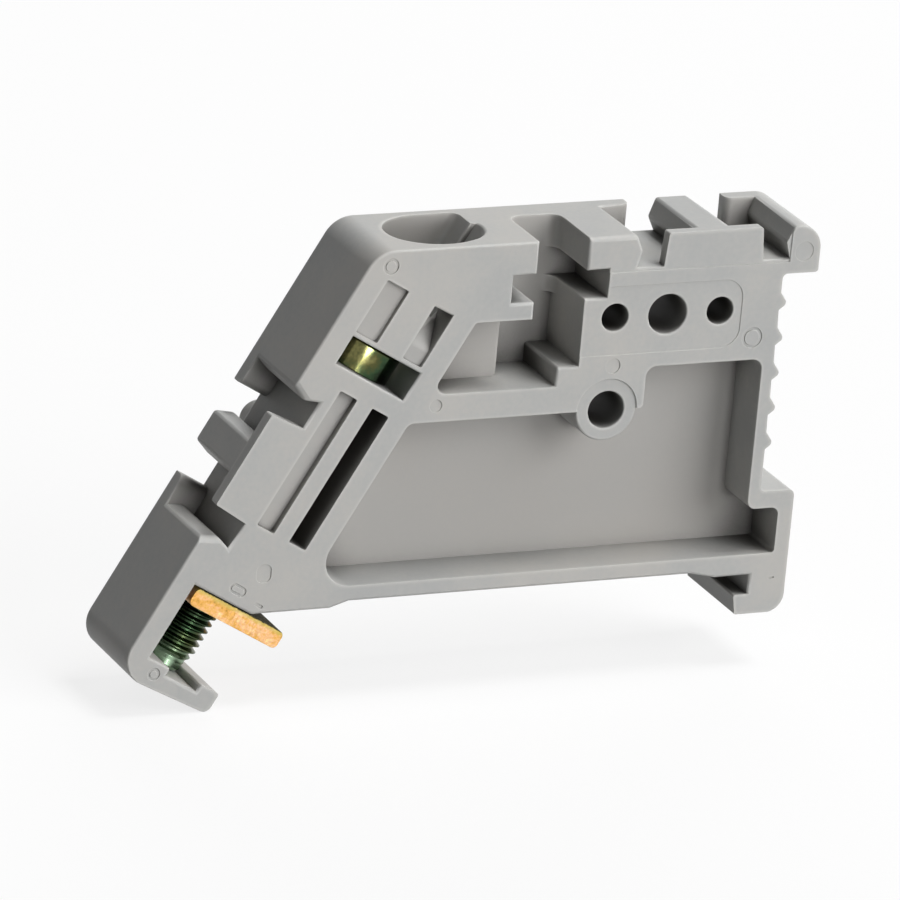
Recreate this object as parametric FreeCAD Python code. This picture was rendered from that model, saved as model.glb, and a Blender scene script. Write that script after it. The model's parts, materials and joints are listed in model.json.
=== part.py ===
import FreeCAD, Part
import math
import os

# End stop for a 35 mm top-hat rail, in millimetres.
# X runs across the rail, Y along it and Z away from it.
# The origin lies on the rail's centre line, half-way through the thickness, on the face that sits on the rail.
# The moulded body carries an arm at 60 degrees. A screw lies along the arm, with its head under an access bore,
# and moves a threaded clamp plate between the body and a claw at the arm's foot.

# Rail that the part is made for
rail_width = 35.0
rail_sheet = 1.0
rail_end_gap = 0.1
rail_sheet_gap = 0.32

# Body as a whole
body_thickness = 7.0
body_height = 23.8
end_reach = 20.25
end_wall_x = 17.77

# Seat on the rail, relieved between its two pads
relief_depth = 0.4
relief_left = 10.7
relief_right = 13.3
left_ramp = 1.3
right_ramp = 1.8

# Foot that hooks under the far flange
hook_lip = 1.03
hook_lip_slant = 0.22
hook_thickness = 1.35
hook_edge_round = 0.1
foot_round = 1.2
ledge_height = 5.75
ledge_round = 0.45
ledge_foot_round = 0.3

# Overhanging lug at the top right
lug_underside = 20.6
lug_foot_round = 0.35
lug_edge_round = 0.2
lug_round = 1.7

# Grip ribs on the right wall
rib_count = 5
rib_top = 18.58
rib_pitch = 2.38
rib_proud = 0.52
rib_upper_slope = 0.75
rib_lower_slope = 0.4
rib_round = 0.3
rib_root = 0.2

# Arm along the screw, measured from the screw's axis
arm_angle = 60.0
axis_foot = 19.3
arm_outer = 4.5
arm_inner = 4.05
arm_head_inner = 4.28
top_round = 2.1

# Slot that the clamp plate travels in, and the claw below it
slot_ceiling = -8.7
slot_wall = 1.55
slot_height = 5.4
claw_root = 1.85
claw_end = 1.5
claw_reach = 2.75
claw_root_round = 1.8
claw_end_round = 0.55
claw_edge_round = 0.2
tip_groove_depth = 0.55

# Screw
thread_radius = 1.5
thread_clearance = 0.04
shaft_clearance = 0.08
head_radius = 2.7
head_height = 2.0
head_round = 0.25
head_seat = 7.8
head_clearance = 0.05
head_float = 0.04
driver_slot_width = 0.8
driver_slot_depth = 1.1
thread_end_gap = 1.15
point_radius = 1.17
point_taper = 0.85
point_chamfer = 0.2
point_clearance = 0.07
point_end_gap = 0.1

# Chamber round the head, with its window in the front, and the way down to it from the top
chamber_wall = 0.55
bore_widening = 0.05
bore_lobe_radius = 2.65
bore_lobe_shift = 0.35
bore_flat = 2.53
bore_flat_start = 0.65
bore_corner_round = 0.6
bore_plain_length = 3.2

# Clamp plate
plate_thickness = 1.2
plate_reach = 4.5
plate_wall_gap = 0.3
plate_face_gap = 0.05
plate_ceiling_gap = 0.05
plate_corner = 0.35

# Shallow and deep grooves in the arm's front face
upper_groove_start = 10.15
upper_groove_end = 14.0
upper_outer_groove = (1.1, 2.85)
upper_inner_groove = (-2.6, -1.05)
upper_groove_depth = 0.3
upper_inner_deep = 2.3
upper_slope_end = 11.3
lower_groove_start = -3.5
lower_groove_end = 6.45
lower_outer_groove = (0.1, 1.5)
lower_inner_groove = (-2.5, -1.15)
lower_outer_depth = 0.5
lower_inner_depth = 2.4
groove_round = 0.12

# Holders for marker tags: one on top, one on the arm's outer side
tag_depth = 2.2
tag_bulge_height = 1.1
tag_stem_bulge_height = 0.95
tag_gap_floor = 5.4
tag_gap_bulge = 5.05
tag_gap_top = 5.55
tag_gap_back = 3.42
tag_back_plate = 1.1
tag_back_round = 0.5
tag_stem_end = 1.1
tag_stem_bulge = 1.55
tag_plate_foot = 3.5
tag_plate_top = 3.32
tag_plate_round = 0.15
tag_plate_thickness = 0.85
tag_root = 0.3
arm_tag_plate_extra = 0.3
top_tag_x = 12.77
arm_tag_u = -0.275

# Gap between the arm's head and the drilled block, with a cross slot for a tag
gap_left = 0.35
gap_right = 3.88
gap_back_wall = 2.0
gap_round = 0.8
cross_slot_floor = 19.74
cross_slot_height = 1.88
cross_slot_reach = 1.58
head_underside = 18.63

# Small pocket under the arm's head
beam_top = 13.97
small_pocket_x = -0.6
small_pocket_depth = 2.65
small_pocket_round = 0.6
step_left = 2.37
step_top = 15.25

# Large pocket, with a thin web left between its front and back halves
pocket_floor_wall = 1.05
pocket_depth = 3.45
web = 1.2
beam_thickness = 1.85
block_left = 8.7
block_underside = 14.88
end_wall = 0.85
foot_wall = 1.05
ledge_wall = 1.17
pocket_round = 0.7
pocket_toe_round = 1.75
pocket_corner_round = 0.25
pocket_step_round = 0.6
pocket_shoulder_round = 0.5
boss_x = 6.15
boss_radius = 2.1
boss_bore_radius = 1.25
boss_recess = 0.1

# Row of three holes through the block
hole_row_height = 18.36
hole_row_x = 9.83
hole_pitch = 3.7
large_hole_radius = 1.34
small_hole_radius = 0.93

# Panel round the row of holes, sunk a little into the front face
panel_recess = 0.045
panel_bottom = 15.85
panel_top = 20.45
panel_right = 15.05
panel_round = 1.3

# Front of the block's top, set back a little above a low line
top_set_back = 0.08
set_back_from = 21.4

# Marks of the mould's pins in the front face, each round one as X, Z and radius
mark_depth = 0.06
ring_width = 0.18
head_ring = (-9.82, 22.77, 0.53)
block_ring = (16.0, 16.4, 0.7)
claw_ring = (-23.76, -3.5, 0.42)
beam_disc = (-5.87, 13.22, 0.42)
boss_disc = (6.3, 15.1, 0.5)
lug_disc = (19.12, 22.04, 0.65)
lug_disc_depth = 0.04
toe_mark_x = -16.75
toe_mark_z = 2.73
toe_mark_width = 1.0
toe_mark_height = 1.2
toe_mark_round = 0.4
foot_mark_x = 19.2
foot_mark_z = -0.28
foot_mark_length = 0.36
foot_mark_width = 0.14

# Low oblong pip and the nick beside it, above the slot's ceiling
pip_above_slot = 1.0
pip_v = 0.15
pip_length = 1.25
pip_width = 0.65
pip_groove = 0.16
nick_above_slot = 0.75
nick_v = -1.73
nick_length = 0.65
nick_width = 0.22

# Locating pin on the back
pin_radius = 1.25
pin_length = 1.5
pin_round = 0.25
pin_root = 0.4
pin_u = 1.5
pin_v = 0.7

# Amount by which a cutter passes beyond the face that it opens, and the least length that counts
past = 1.0
tiny = 1e-6

front = -body_thickness / 2
back = body_thickness / 2
sine = math.sin(math.radians(arm_angle))
cosine = math.cos(math.radians(arm_angle))
along = FreeCAD.Vector(cosine, 0, sine)
axis_distance = axis_foot * sine
axis_start = FreeCAD.Vector(-axis_distance * sine, 0, axis_distance * cosine)
slot_side = arm_outer - slot_wall
claw_top = slot_ceiling - slot_height
bore_radius = head_radius + head_clearance
wide_bore_radius = bore_radius + bore_widening
shaft_bore_radius = thread_radius + shaft_clearance
hook_slot_end = rail_width / 2 + rail_end_gap
hook_slot_floor = -(rail_sheet + rail_sheet_gap)
tag_floor = body_height - tag_depth


def arm_point(u, v):
    """Gives X and Z of a point u along the arm and v out from the screw's axis."""
    return (axis_start.x + u * cosine - v * sine, axis_start.z + u * sine + v * cosine)


def u_at_height(v, z):
    """Gives the place along the arm where the line at v reaches the height z."""
    return (z - axis_start.z - v * cosine) / sine


def v_at_height(u, z):
    """Gives the distance from the screw's axis where the line at u reaches the height z."""
    return (z - axis_start.z - u * sine) / cosine


def rounded_wire(corners):
    """Makes a closed wire from corners of X, Z and an optional radius, each radius limited by its sides."""
    points = [FreeCAD.Vector(corner[0], 0, corner[1]) for corner in corners]
    radii = [corner[2] if len(corner) > 2 else 0 for corner in corners]
    count = len(points)
    entries = []
    for i in range(count):
        here = points[i]
        to_last = points[i - 1] - here
        to_next = points[(i + 1) % count] - here
        angle = to_last.getAngle(to_next)
        if radii[i] <= 0 or angle > math.radians(179):
            entries.append((here, here, here))
            continue
        room = 0.49 * min(to_last.Length, to_next.Length)
        cut = min(radii[i] / math.tan(angle / 2), room)
        radius = cut * math.tan(angle / 2)
        first = here + to_last.normalize() * cut
        last = here + to_next.normalize() * cut
        inward = to_last + to_next
        inward.normalize()
        middle = here + inward * (radius / math.sin(angle / 2) - radius)
        entries.append((first, middle, last))
    edges = []
    for i in range(count):
        first, middle, last = entries[i]
        if (last - first).Length > tiny:
            edges.append(Part.Arc(first, middle, last).toShape())
        start = entries[(i + 1) % count][0]
        if (start - last).Length > tiny:
            edges.append(Part.makeLine(last, start))
    return Part.Wire(edges)


def prism(corners, y_from, y_to):
    """Extrudes a rounded outline in XZ from one Y to another."""
    face = Part.Face(rounded_wire(corners))
    solid = face.extrude(FreeCAD.Vector(0, y_to - y_from, 0))
    solid.translate(FreeCAD.Vector(0, y_from, 0))
    return solid


def mirrored(corners):
    """Gives the corners of an outline's other half, mirrored in X and in reverse order."""
    return [(-corner[0],) + tuple(corner[1:]) for corner in reversed(corners)]


def plan_prism(corners, z_from, z_to):
    """Extrudes a rounded outline in XY from one Z to another."""
    face = Part.Face(rounded_wire(corners))
    face.rotate(FreeCAD.Vector(0, 0, 0), FreeCAD.Vector(1, 0, 0), -90)
    solid = face.extrude(FreeCAD.Vector(0, 0, z_to - z_from))
    solid.translate(FreeCAD.Vector(0, 0, z_from))
    return solid


def box(x_from, x_to, z_from, z_to, y_from, y_to, radius=0):
    """Makes a block from its limits, with rounded corners as seen from the front."""
    outline = [(x_from, z_from, radius), (x_to, z_from, radius), (x_to, z_to, radius), (x_from, z_to, radius)]
    return prism(outline, y_from, y_to)


def arm_prism(corners, y_from, y_to):
    """Extrudes an outline that is given as u, v and an optional radius."""
    return prism([arm_point(c[0], c[1]) + tuple(c[2:]) for c in corners], y_from, y_to)


def arm_box(u_from, u_to, v_from, v_to, y_from, y_to, radius=0):
    """Makes a block that lies along the arm."""
    outline = [(u_from, v_from, radius), (u_to, v_from, radius), (u_to, v_to, radius), (u_from, v_to, radius)]
    return arm_prism(outline, y_from, y_to)


def arm_cylinder(radius, u_from, u_to):
    """Makes a cylinder on the screw's axis."""
    start = axis_start + along * u_from
    return Part.makeCylinder(radius, u_to - u_from, start, along)


def y_cylinder(radius, x, z, y_from, y_to):
    """Makes a cylinder through the thickness."""
    return Part.makeCylinder(radius, y_to - y_from, FreeCAD.Vector(x, y_from, z), FreeCAD.Vector(0, 1, 0))


def body_outline():
    """Makes the full-thickness body from its outline, before anything is cut from it."""
    seat_start = arm_point(slot_ceiling, v_at_height(slot_ceiling, 0))
    top_corner = arm_point(u_at_height(arm_outer, body_height), arm_outer)
    foot_bottom = hook_slot_floor - hook_thickness
    lip_x = hook_slot_end - hook_lip
    corners = [
        seat_start,
        (-relief_left - left_ramp, 0),
        (-relief_left, relief_depth),
        (relief_right, relief_depth),
        (relief_right + right_ramp, 0),
        (hook_slot_end, 0),
        (hook_slot_end, hook_slot_floor),
        (lip_x, hook_slot_floor, hook_edge_round),
        (lip_x + hook_lip_slant, foot_bottom, hook_edge_round),
        (end_reach, foot_bottom, foot_round),
        (end_reach, ledge_height, ledge_round),
        (end_wall_x, ledge_height, ledge_foot_round),
        (end_wall_x, lug_underside, lug_foot_round),
        (end_reach, lug_underside, lug_edge_round),
        (end_reach, body_height, lug_round),
        top_corner + (top_round,),
        arm_point(claw_top - claw_root, arm_outer) + (claw_root_round,),
        arm_point(claw_top - claw_end, -claw_reach) + (claw_end_round,),
        arm_point(claw_top, -claw_reach) + (claw_edge_round,),
        arm_point(claw_top, slot_side),
        arm_point(slot_ceiling, slot_side),
    ]
    return prism(corners, front, back)


def grip_ribs():
    """Makes the ribs on the right wall, each with a long slope above its crest and a short one below."""
    root = end_wall_x - rib_root
    ribs = []
    for i in range(rib_count):
        crest = rib_top - i * rib_pitch
        outline = [
            (root, crest + rib_upper_slope),
            (end_wall_x, crest + rib_upper_slope),
            (end_wall_x + rib_proud, crest, rib_round),
            (end_wall_x, crest - rib_lower_slope),
            (root, crest - rib_lower_slope),
        ]
        ribs.append(prism(outline, front, back))
    return ribs


def tag_opening():
    """Makes the space of a tag holder, with its floor on Z = 0 and its middle on X = 0."""
    above = tag_depth + past
    slope = (tag_gap_top - tag_gap_bulge) / (tag_depth - tag_bulge_height)
    wide = tag_gap_bulge + slope * (above - tag_bulge_height)
    sides = [(tag_gap_floor, 0), (tag_gap_bulge, tag_bulge_height), (wide, above)]
    plate_front = back - tag_back_plate
    main = prism(sides + mirrored(sides), front - past, plate_front)
    half_plan = [
        (tag_gap_bulge, plate_front - tag_back_round),
        (tag_gap_bulge, plate_front),
        (tag_gap_back, plate_front, tag_back_round),
        (tag_gap_back, back + past),
    ]
    return main.fuse(plan_prism(half_plan + mirrored(half_plan), 0, above))


def tag_post(plate_extra):
    """Makes the T-shaped post of a tag holder, from just below its floor."""
    sides = [
        (tag_stem_end, -tag_root),
        (tag_stem_end, 0),
        (tag_stem_bulge, tag_stem_bulge_height),
        (tag_stem_end, tag_depth),
    ]
    stem = prism(sides + mirrored(sides), front, back)
    plate_side = [
        (tag_plate_foot, -tag_root),
        (tag_plate_foot, 0),
        (tag_plate_top, tag_depth + plate_extra, tag_plate_round),
    ]
    plate = prism(plate_side + mirrored(plate_side), front, front + tag_plate_thickness)
    return stem.fuse(plate)


def to_arm(shape, u, v):
    """Turns a shape so that its X runs along the arm and its Z points outwards, and moves it to u and v."""
    x, z = arm_point(u, v)
    shape.rotate(FreeCAD.Vector(0, 0, 0), FreeCAD.Vector(0, 1, 0), -arm_angle)
    shape.translate(FreeCAD.Vector(x, 0, z))
    return shape


def on_top(shape):
    """Places a tag holder's shape on the top face."""
    shape.translate(FreeCAD.Vector(top_tag_x, 0, tag_floor))
    return shape


def on_arm(shape):
    """Places a tag holder's shape on the arm's outer side."""
    return to_arm(shape, arm_tag_u, arm_outer - tag_depth)


def large_pocket(y_from, y_to):
    """Makes the space of the large pocket, less the boss that stands in it."""
    inner = -arm_inner
    floor = relief_depth + pocket_floor_wall
    ceiling = beam_top - beam_thickness
    wall_x = end_wall_x - end_wall
    foot_x = end_reach - foot_wall
    ledge_z = ledge_height - ledge_wall
    toe = arm_point(u_at_height(inner, floor), inner)
    heel = arm_point(u_at_height(inner, ceiling), inner)
    corners = [
        toe + (pocket_toe_round,),
        (foot_x, floor, pocket_corner_round),
        (foot_x, ledge_z, pocket_shoulder_round),
        (wall_x, ledge_z, pocket_step_round),
        (wall_x, block_underside, pocket_round),
        (block_left, block_underside, pocket_round),
        (block_left, ceiling, pocket_corner_round),
        heel + (pocket_round,),
    ]
    space = prism(corners, y_from, y_to)
    boss = y_cylinder(boss_radius, boss_x, ceiling, y_from - past, y_to + past)
    return space.cut(boss)


def small_pocket():
    """Makes the space under the arm's head, shallow beside the arm and deep beside the block."""
    inner = -arm_head_inner
    toe = arm_point(u_at_height(inner, beam_top), inner)
    heel = arm_point(u_at_height(inner, head_underside), inner)
    shallow = prism(
        [
            toe + (small_pocket_round,),
            (small_pocket_x + past, beam_top),
            (small_pocket_x + past, head_underside),
            heel + (small_pocket_round / 2,),
        ],
        front - past,
        front + small_pocket_depth,
    )
    deep_back = back - gap_back_wall
    deep = prism(
        [
            (small_pocket_x, beam_top),
            (step_left, beam_top),
            (step_left, step_top),
            (gap_right, step_top),
            (gap_right, head_underside),
            (small_pocket_x, head_underside),
        ],
        front - past,
        deep_back,
    )
    return shallow.fuse(deep)


def upright_gap():
    """Makes the gap that runs down from the top, with its rounded back corners and its cross slot."""
    deep_back = back - gap_back_wall
    plan = [
        (gap_left, front - past),
        (gap_right, front - past),
        (gap_right, deep_back, gap_round),
        (gap_left, deep_back, gap_round),
    ]
    upright = plan_prism(plan, step_top, body_height + past)
    cross = box(
        gap_left - cross_slot_reach,
        gap_right + cross_slot_reach,
        cross_slot_floor,
        cross_slot_floor + cross_slot_height,
        front - past,
        deep_back,
    )
    return upright.fuse(cross)


def access_bore():
    """Makes the way down to the head: a plain bore, widened above by a lobe in front and a corner behind."""
    top = u_at_height(-arm_inner, body_height) + past
    widened = head_seat + head_height + head_float + bore_plain_length
    x, z = arm_point(widened, -bore_lobe_shift)
    lobe = Part.makeCylinder(bore_lobe_radius, top - widened, FreeCAD.Vector(x, 0, z), along)
    inner = -wide_bore_radius - bore_lobe_shift - past
    behind_flat = arm_box(widened, top + past, inner, -bore_flat, bore_flat_start, back)
    corner = arm_box(widened, top, -bore_flat, 0, bore_flat_start, wide_bore_radius)
    edges = [edge for edge in corner.Edges if is_bore_corner(edge)]
    corner = corner.makeFillet(bore_corner_round, edges)
    plain = arm_cylinder(bore_radius, head_seat, widened)
    wide = arm_cylinder(wide_bore_radius, widened, top).fuse(lobe).cut(behind_flat).fuse(corner)
    return plain.fuse(wide)


def is_bore_corner(edge):
    """Tells whether an edge is the one along the arm at the back inner corner of the bore."""
    middle = edge.CenterOfMass
    v = v_at_height((middle - axis_start).dot(along), middle.z)
    return abs(v + bore_flat) < tiny and abs(middle.y - wide_bore_radius) < tiny


def head_chamber():
    """Makes the square chamber round the head, open to the front as a window."""
    chamber_top = head_seat + head_height + head_float
    half = wide_bore_radius
    return arm_box(head_seat, chamber_top, -half, half, front - past, back - chamber_wall)


def arm_groove(start, end, limits, depth):
    """Makes one groove along the arm's front face, between two limits of v."""
    return arm_box(start, end, limits[0], limits[1], front - past, front + depth, groove_round)


def sloped_groove():
    """Makes the part of the upper inner groove that slopes down to its deep end."""
    run = upper_groove_end - upper_slope_end
    side = [
        (0, front - past),
        (run, front - past),
        (run, front + upper_inner_deep),
        (0, front + upper_groove_depth),
    ]
    wedge = plan_prism(side, 0, upper_inner_groove[1] - upper_inner_groove[0])
    return to_arm(wedge, upper_slope_end, upper_inner_groove[0])


def arm_grooves():
    """Makes the four grooves in the front of the arm."""
    return [
        arm_groove(upper_groove_start, upper_groove_end, upper_outer_groove, upper_groove_depth),
        arm_groove(upper_groove_start, upper_groove_end, upper_inner_groove, upper_groove_depth),
        sloped_groove(),
        arm_groove(lower_groove_start, lower_groove_end, lower_outer_groove, lower_outer_depth),
        arm_groove(lower_groove_start, lower_groove_end, lower_inner_groove, lower_inner_depth),
    ]


def tip_groove():
    """Makes the groove in the claw that holds the screw's point."""
    half = point_radius + point_clearance
    return arm_box(claw_top - tip_groove_depth, claw_top + past, -half, half, front - past, back + past)


def row_holes():
    """Makes the boss's bore and the row of three holes."""
    ceiling = beam_top - beam_thickness
    radii = (small_hole_radius, large_hole_radius, small_hole_radius)
    holes = [y_cylinder(boss_bore_radius, boss_x, ceiling, front - past, back + past)]
    for i, radius in enumerate(radii):
        x = hole_row_x + (i - 1) * hole_pitch
        holes.append(y_cylinder(radius, x, hole_row_height, front - past, back + past))
    return holes


def face_recesses():
    """Makes the shallow recesses in the front: the boss's end, the panel round the holes and the block's top."""
    ceiling = beam_top - beam_thickness
    panel = [
        (gap_left, panel_bottom),
        (panel_right, panel_bottom, panel_round),
        (panel_right, panel_top, panel_round),
        (gap_left, panel_top),
    ]
    return [
        y_cylinder(boss_radius, boss_x, ceiling, front - past, front + boss_recess),
        prism(panel, front - past, front + panel_recess),
        box(
            gap_right,
            top_tag_x + tag_gap_floor,
            set_back_from,
            body_height + past,
            front - past,
            front + top_set_back,
        ),
    ]


def ring_groove(mark):
    """Makes a ring-shaped mark from its X, Z and outer radius."""
    x, z, radius = mark
    ring = y_cylinder(radius, x, z, front - past, front + mark_depth)
    return ring.cut(y_cylinder(radius - ring_width, x, z, front - past, front + mark_depth))


def sunk_disc(mark, depth):
    """Makes a round mark with a flat bottom from its X, Z and radius."""
    x, z, radius = mark
    return y_cylinder(radius, x, z, front - past, front + depth)


def sunk_oblong(x, z, length, width, radius):
    """Makes a mark with straight sides round its middle."""
    half = length / 2
    side = width / 2
    return box(x - half, x + half, z - side, z + side, front - past, front + mark_depth, radius)


def pip_and_nick():
    """Makes the groove round the oblong pip, and the nick beside it."""
    pip_u = slot_ceiling + pip_above_slot
    nick_u = slot_ceiling + nick_above_slot
    low = front + mark_depth
    shapes = []
    for length, width in ((pip_length, pip_width), (pip_length - 2 * pip_groove, pip_width - 2 * pip_groove)):
        half = length / 2
        side = width / 2
        shapes.append(arm_box(pip_u - side, pip_u + side, pip_v - half, pip_v + half, front - past, low, side))
    half = nick_length / 2
    side = nick_width / 2
    nick = arm_box(nick_u - side, nick_u + side, nick_v - half, nick_v + half, front - past, low, side)
    return [shapes[0].cut(shapes[1]), nick]


def mould_marks():
    """Makes every shallow mark in the front face."""
    marks = [ring_groove(mark) for mark in (head_ring, block_ring, claw_ring)]
    marks += [sunk_disc(mark, mark_depth) for mark in (beam_disc, boss_disc)]
    marks.append(sunk_disc(lug_disc, lug_disc_depth))
    marks.append(sunk_oblong(toe_mark_x, toe_mark_z, toe_mark_width, toe_mark_height, toe_mark_round))
    marks.append(sunk_oblong(foot_mark_x, foot_mark_z, foot_mark_length, foot_mark_width, foot_mark_width / 2))
    return marks + pip_and_nick()


def locating_pin():
    """Makes the short round pin on the back of the arm."""
    x, z = arm_point(pin_u, pin_v)
    pin = y_cylinder(pin_radius, x, z, back - pin_root, back + pin_length)
    rim = [edge for edge in pin.Edges if edge.Closed and edge.CenterOfMass.y > back]
    return pin.makeFillet(pin_round, rim)


def end_stop_body():
    """Makes the moulded body."""
    body = body_outline().fuse(grip_ribs())
    body = body.cut([on_top(tag_opening()), on_arm(tag_opening())])
    body = body.fuse([on_top(tag_post(0)), on_arm(tag_post(arm_tag_plate_extra))])
    web_front = front + pocket_depth
    cuts = [
        large_pocket(front - past, web_front),
        large_pocket(web_front + web, back + past),
        small_pocket(),
        upright_gap(),
        access_bore(),
        head_chamber(),
        arm_cylinder(shaft_bore_radius, slot_ceiling - past, head_seat + past),
        tip_groove(),
    ]
    body = body.cut(cuts + arm_grooves() + row_holes() + face_recesses() + mould_marks())
    return body.fuse(locating_pin()).removeSplitter()


def clamp_screw():
    """Makes the screw: slotted head, shank, taper and plain point."""
    head_from = head_seat + head_float
    head_top = head_from + head_height
    point_end = claw_top - tip_groove_depth + point_end_gap
    thread_end = claw_top + thread_end_gap
    head = arm_cylinder(head_radius, head_from, head_top)
    middle_plane = axis_start + along * (head_from + head_height / 2)
    rim = [edge for edge in head.Edges if edge.Closed and (edge.CenterOfMass - middle_plane).dot(along) > 0]
    head = head.makeFillet(head_round, rim)
    slot = arm_box(
        head_top - driver_slot_depth,
        head_top + past,
        -head_radius - past,
        head_radius + past,
        -driver_slot_width / 2,
        driver_slot_width / 2,
    )
    shank = arm_cylinder(thread_radius, thread_end, head_top - driver_slot_depth)
    taper = Part.makeCone(
        point_radius,
        thread_radius,
        point_taper,
        axis_start + along * (thread_end - point_taper),
        along,
    )
    point = arm_cylinder(point_radius, point_end + point_chamfer, thread_end - point_taper)
    tip = Part.makeCone(
        point_radius - point_chamfer,
        point_radius,
        point_chamfer,
        axis_start + along * point_end,
        along,
    )
    return head.cut(slot).fuse([shank, taper, point, tip]).removeSplitter()


def clamp_plate():
    """Makes the clamp plate in its raised place, against the slot's ceiling."""
    top = slot_ceiling - plate_ceiling_gap
    side = slot_side - plate_wall_gap
    blank = arm_prism(
        [
            (top, -plate_reach, plate_corner),
            (top, side, plate_corner),
            (top - plate_thickness, side, plate_corner),
            (top - plate_thickness, -plate_reach, plate_corner),
        ],
        front + plate_face_gap,
        back - plate_face_gap,
    )
    hole = arm_cylinder(thread_radius + thread_clearance, top - plate_thickness - past, top + past)
    return blank.cut(hole)


os.makedirs("parts", exist_ok=True)
for name, shape in (
    ("moulded_body", end_stop_body()),
    ("clamp_screw", clamp_screw()),
    ("clamp_plate", clamp_plate()),
):
    shape.exportStep("parts/" + name + ".step")
    limits = shape.BoundBox
    print(
        name,
        "valid" if shape.isValid() else "NOT VALID",
        "solids",
        len(shape.Solids),
        "volume %.1f" % shape.Volume,
        "x %.2f %.2f" % (limits.XMin, limits.XMax),
        "y %.2f %.2f" % (limits.YMin, limits.YMax),
        "z %.2f %.2f" % (limits.ZMin, limits.ZMax),
    )
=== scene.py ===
# Looks of an end stop for a 35 mm rail: a moulded body, a clamp screw along its arm and a clamp plate.
import heapq
import json
import logging
import math
from collections.abc import Callable
from dataclasses import dataclass, field
from enum import Enum

import bmesh
import bpy
from mathutils import Matrix, Vector
from mathutils.bvhtree import BVHTree


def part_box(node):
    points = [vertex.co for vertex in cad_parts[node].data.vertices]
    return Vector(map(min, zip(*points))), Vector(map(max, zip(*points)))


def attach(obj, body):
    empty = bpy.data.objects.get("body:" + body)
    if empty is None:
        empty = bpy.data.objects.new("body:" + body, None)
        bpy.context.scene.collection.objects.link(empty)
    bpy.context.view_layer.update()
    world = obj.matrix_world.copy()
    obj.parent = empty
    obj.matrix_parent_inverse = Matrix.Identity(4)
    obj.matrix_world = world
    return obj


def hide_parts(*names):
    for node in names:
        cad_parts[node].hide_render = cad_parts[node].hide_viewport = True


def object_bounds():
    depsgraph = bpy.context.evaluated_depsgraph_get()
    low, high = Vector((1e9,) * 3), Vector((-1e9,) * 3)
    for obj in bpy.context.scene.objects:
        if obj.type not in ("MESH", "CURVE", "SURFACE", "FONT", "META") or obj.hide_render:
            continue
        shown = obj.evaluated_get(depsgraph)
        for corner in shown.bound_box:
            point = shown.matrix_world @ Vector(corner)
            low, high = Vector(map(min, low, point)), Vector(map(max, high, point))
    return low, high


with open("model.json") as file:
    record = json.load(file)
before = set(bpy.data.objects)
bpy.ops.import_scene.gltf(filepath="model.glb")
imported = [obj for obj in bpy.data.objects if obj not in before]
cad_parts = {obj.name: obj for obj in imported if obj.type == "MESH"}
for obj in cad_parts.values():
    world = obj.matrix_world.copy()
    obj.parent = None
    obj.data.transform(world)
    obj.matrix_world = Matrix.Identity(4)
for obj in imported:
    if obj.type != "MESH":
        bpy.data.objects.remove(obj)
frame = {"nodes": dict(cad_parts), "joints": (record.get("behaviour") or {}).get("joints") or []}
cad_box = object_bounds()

MM = 0.001
TINY = 1e-7
JOIN_DISTANCE = 0.5e-6
SEAM_DISTANCE = 1e-6
FLAT_ANGLE = math.radians(0.3)
ARM_SLOPE = math.radians(30)
SHARPEST_TURN = math.radians(160)
log = logging.getLogger("end_stop")


class Node(Enum):
    """The solids of the frame."""

    BODY = "moulded_body"
    SCREW = "clamp_screw"
    PLATE = "clamp_plate"


class Body(Enum):
    """The bodies that the pieces ride on."""

    HOUSING = "housing"
    SCREW = "screw"
    PLATE = "plate"


class Slot(Enum):
    """The finishes that the record names."""

    PLASTIC = "grey_plastic"
    GREEN = "green_passivated_steel"
    YELLOW = "yellow_passivated_steel"


class Value:
    """A number that changes over a surface; Python's operators on it add Math nodes."""

    def __init__(self, recipe: "NodeTree", socket: bpy.types.NodeSocket) -> None:
        """Wraps one output socket of a node tree."""
        self.recipe = recipe
        self.socket = socket

    def math(self, operation: str, *others: "Value | float") -> "Value":
        """Adds one Math node.

        Args:
            operation: the Math node's operation.
            others: the second and third operand, where the operation has them.

        Returns:
            The node's result.
        """
        return self.recipe.math(operation, self, *others)

    def __add__(self, other: "Value | float") -> "Value":
        """Adds."""
        return self.math("ADD", other)

    def __radd__(self, other: float) -> "Value":
        """Adds to a plain number."""
        return self.math("ADD", other)

    def __sub__(self, other: "Value | float") -> "Value":
        """Subtracts."""
        return self.math("SUBTRACT", other)

    def __rsub__(self, other: float) -> "Value":
        """Subtracts from a plain number."""
        return self.recipe.math("SUBTRACT", other, self)

    def __mul__(self, other: "Value | float") -> "Value":
        """Multiplies."""
        return self.math("MULTIPLY", other)

    def __rmul__(self, other: float) -> "Value":
        """Multiplies a plain number."""
        return self.math("MULTIPLY", other)

    def ramp(self, low: float, high: float) -> "Value":
        """Rises smoothly from 0 at low to 1 at high.

        Args:
            low: where the rise starts.
            high: where it ends; below low, the ramp falls instead.

        Returns:
            A mask from 0 to 1.
        """
        values = {"Value": self, "From Min": low, "From Max": high, "To Min": 0.0, "To Max": 1.0}
        settings = {"interpolation_type": "SMOOTHSTEP"}
        return Value(self.recipe, self.recipe.node("ShaderNodeMapRange", settings, values).outputs[0])

    def between(self, low: float, high: float) -> "Value":
        """Stretches 0 to 1 into another range."""
        return self * (high - low) + low


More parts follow.
